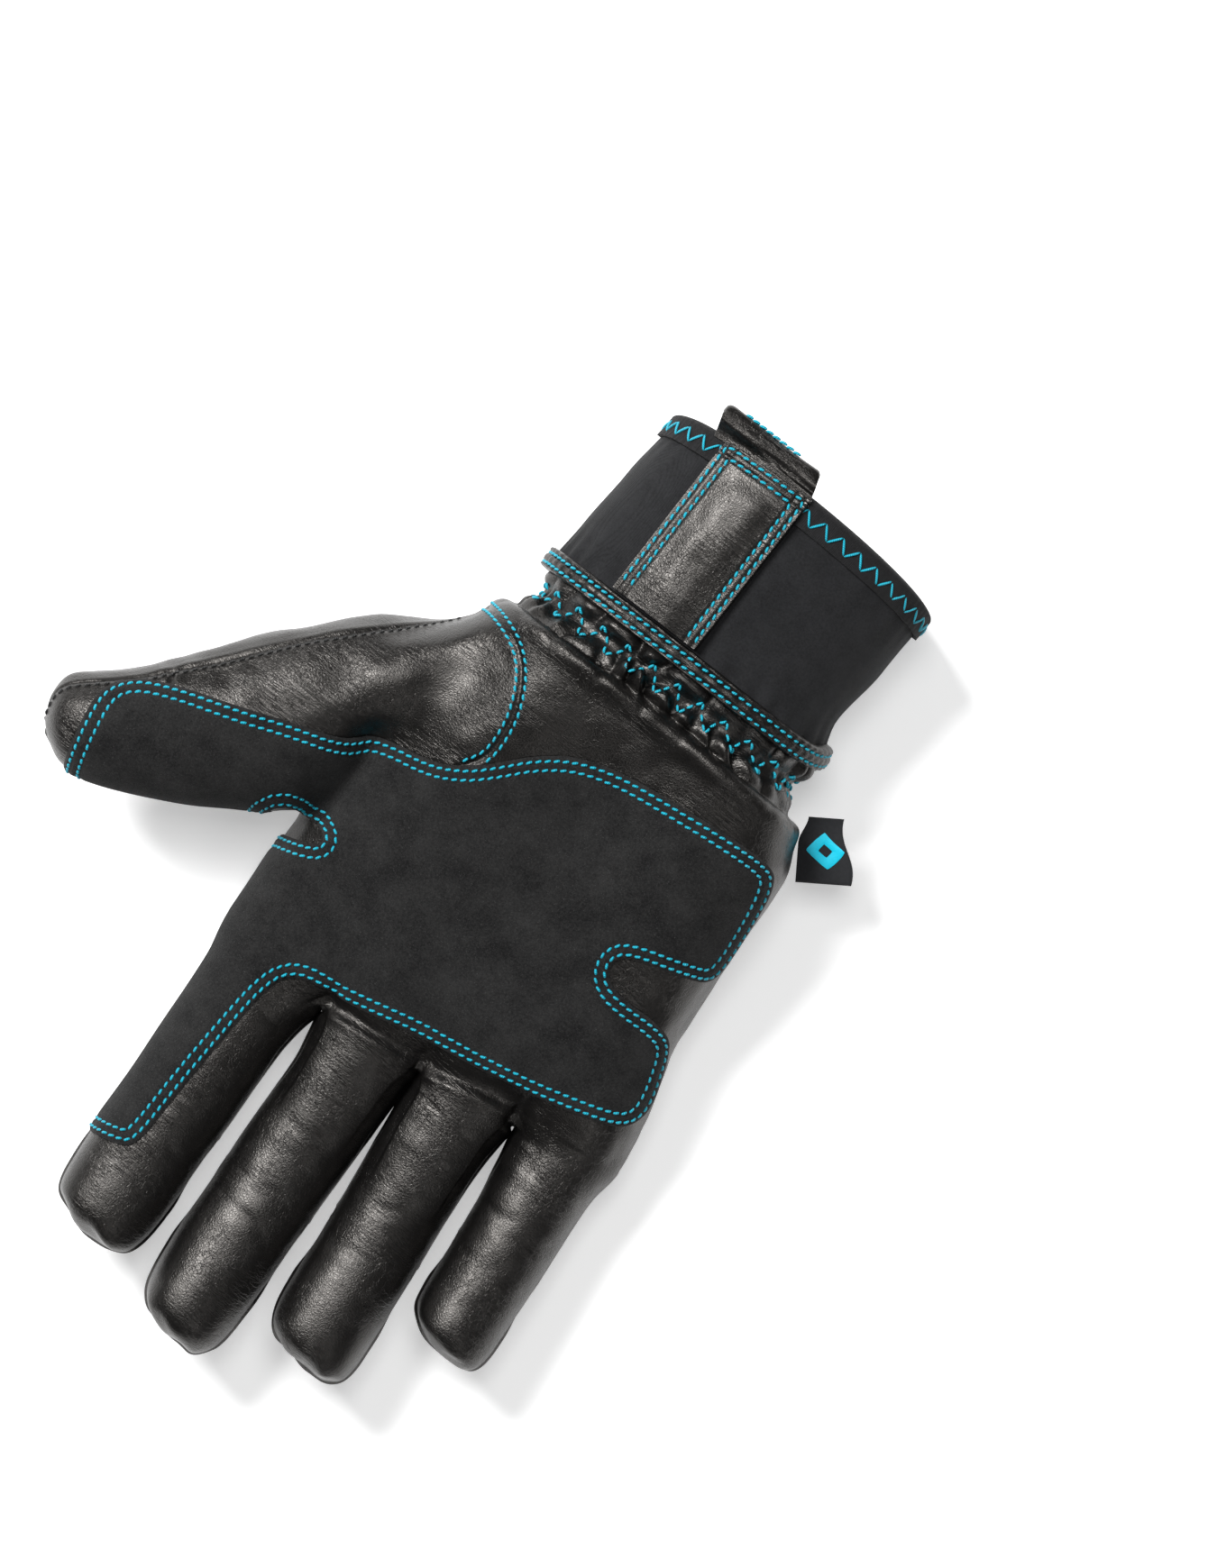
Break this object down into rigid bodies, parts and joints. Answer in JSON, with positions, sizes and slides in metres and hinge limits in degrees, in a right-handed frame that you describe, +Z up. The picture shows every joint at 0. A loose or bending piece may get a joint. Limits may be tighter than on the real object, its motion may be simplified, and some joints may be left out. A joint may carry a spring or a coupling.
{
  "type": "cryogenic glove",
  "caption": "Padded black leather hand glove with a grip patch, gathered wrist and neoprene cuff, jointed at the fingers, thumb and wrist.",
  "frame": {"origin": "on the resting plane, under the middle of the back of the hand", "axes": "+Y from the cuff to the fingertips, +X to the thumb side, +Z up out of the palm, with the glove lying on its back"},
  "size_m": [0.1861, 0.2708, 0.0595],
  "materials": {
    "leather": "smooth black leather with a satin sheen, dyed through",
    "suede": "black suede-like microfibre, matt and napped",
    "neoprene": "black neoprene faced with fine knit",
    "insert": "grey brushed lining, laminated to insulation and membrane",
    "elastic": "black woven elastic tape",
    "label": "dark woven tape"
  },
  "bodies": {
    "hand": {"back_panel": "leather", "palm_panel": "leather", "palm_patch": "suede", "thenar_panel": "leather", "hand_insert": "insert", "crotch_fork_little_ring": "leather", "crotch_fork_ring_middle": "leather", "crotch_fork_middle_index": "leather", "wrist_gather": "leather", "wrist_elastic": "elastic", "wrist_insert": "insert"},
    "cuff": {"cuff_binding": "leather", "cuff_sleeve": "neoprene", "cuff_trim": "elastic", "pull_tab": "leather"},
    "loop": {"pull_loop": "leather"},
    "label": {"side_label": "label"},
    "index_base": {"index_back_base": "leather", "index_fork_little_side": "leather", "index_front_base": "leather", "index_insert_base": "insert", "index_patch_base": "suede"},
    "index_tip": {"index_back_tip": "leather", "index_front_tip": "leather", "index_insert_tip": "insert", "index_patch_tip": "suede"},
    "middle_base": {"middle_back_base": "leather", "middle_fork_little_side": "leather", "middle_fork_thumb_side": "leather", "middle_front_base": "leather", "middle_insert_base": "insert"},
    "middle_tip": {"middle_back_tip": "leather", "middle_front_tip": "leather", "middle_insert_tip": "insert"},
    "ring_base": {"ring_back_base": "leather", "ring_fork_little_side": "leather", "ring_fork_thumb_side": "leather", "ring_front_base": "leather", "ring_insert_base": "insert"},
    "ring_tip": {"ring_back_tip": "leather", "ring_front_tip": "leather", "ring_insert_tip": "insert"},
    "little_base": {"little_back_base": "leather", "little_fork_thumb_side": "leather", "little_front_base": "leather", "little_insert_base": "insert"},
    "little_tip": {"little_back_tip": "leather", "little_front_tip": "leather", "little_insert_tip": "insert"},
    "thumb_base": {"thumb_back_base": "leather", "thumb_front_base": "leather", "thumb_insert_base": "insert", "thumb_patch_base": "suede"},
    "thumb_tip": {"thumb_back_tip": "leather", "thumb_front_tip": "leather", "thumb_insert_tip": "insert", "thumb_patch_tip": "suede"}
  },
  "joints": [
    {"name": "wrist_flex", "type": "hinge", "parent": "hand", "child": "cuff", "pos_m": [0, -0.054, 0.029], "axis": [1, 0, 0], "range_deg": [-22, 22], "stiffness_Nm_per_rad": 0.3, "deforming": ["wrist_gather", "wrist_elastic", "wrist_insert"]},
    {"name": "index_knuckle", "type": "hinge", "parent": "hand", "child": "index_base", "pos_m": [0.03718, 0.073, 0.02371], "axis": [1, 0, 0], "range_deg": [-8, 70], "stiffness_Nm_per_rad": 0.08},
    {"name": "index_bend", "type": "hinge", "parent": "index_base", "child": "index_tip", "pos_m": [0.03575, 0.0995, 0.0249], "axis": [1, 0, 0], "range_deg": [-8, 80], "stiffness_Nm_per_rad": 0.05},
    {"name": "middle_knuckle", "type": "hinge", "parent": "hand", "child": "middle_base", "pos_m": [0.00624, 0.0722, 0.02371], "axis": [1, 0, 0], "range_deg": [-8, 70], "stiffness_Nm_per_rad": 0.08},
    {"name": "middle_bend", "type": "hinge", "parent": "middle_base", "child": "middle_tip", "pos_m": [0.0043, 0.1017, 0.02502], "axis": [1, 0, 0], "range_deg": [-8, 80], "stiffness_Nm_per_rad": 0.05},
    {"name": "ring_knuckle", "type": "hinge", "parent": "hand", "child": "ring_base", "pos_m": [-0.02198, 0.0688, 0.02371], "axis": [1, 0, 0], "range_deg": [-8, 70], "stiffness_Nm_per_rad": 0.08},
    {"name": "ring_bend", "type": "hinge", "parent": "ring_base", "child": "ring_tip", "pos_m": [-0.02481, 0.0943, 0.02485], "axis": [1, 0, 0], "range_deg": [-8, 80], "stiffness_Nm_per_rad": 0.05},
    {"name": "little_knuckle", "type": "hinge", "parent": "hand", "child": "little_base", "pos_m": [-0.05063, 0.064, 0.02371], "axis": [1, 0, 0], "range_deg": [-8, 70], "stiffness_Nm_per_rad": 0.08},
    {"name": "little_bend", "type": "hinge", "parent": "little_base", "child": "little_tip", "pos_m": [-0.05235, 0.0815, 0.02452], "axis": [1, 0, 0], "range_deg": [-8, 80], "stiffness_Nm_per_rad": 0.05},
    {"name": "thumb_knuckle", "type": "hinge", "parent": "hand", "child": "thumb_base", "pos_m": [0.07049, 0.01449, 0.03751], "axis": [0.2933, -0.6682, 0.6837], "range_deg": [-8, 40], "stiffness_Nm_per_rad": 0.12},
    {"name": "thumb_bend", "type": "hinge", "parent": "thumb_base", "child": "thumb_tip", "pos_m": [0.09088, 0.03289, 0.04202], "axis": [0.378, -0.602, 0.7033], "range_deg": [-8, 60], "stiffness_Nm_per_rad": 0.06},
    {"name": "pull_loop_fold", "type": "hinge", "parent": "cuff", "child": "loop", "pos_m": [0.0156, -0.1131, 0.05733], "axis": [1, 0, 0], "range_deg": [-85, 15], "stiffness_Nm_per_rad": 0.002},
    {"name": "label_fold", "type": "hinge", "parent": "hand", "child": "label", "pos_m": [-0.05224, -0.03766, 0.0224], "axis": [0.5562, -0.831, 0], "range_deg": [-55, 55], "stiffness_Nm_per_rad": 0.0005}
  ]
}
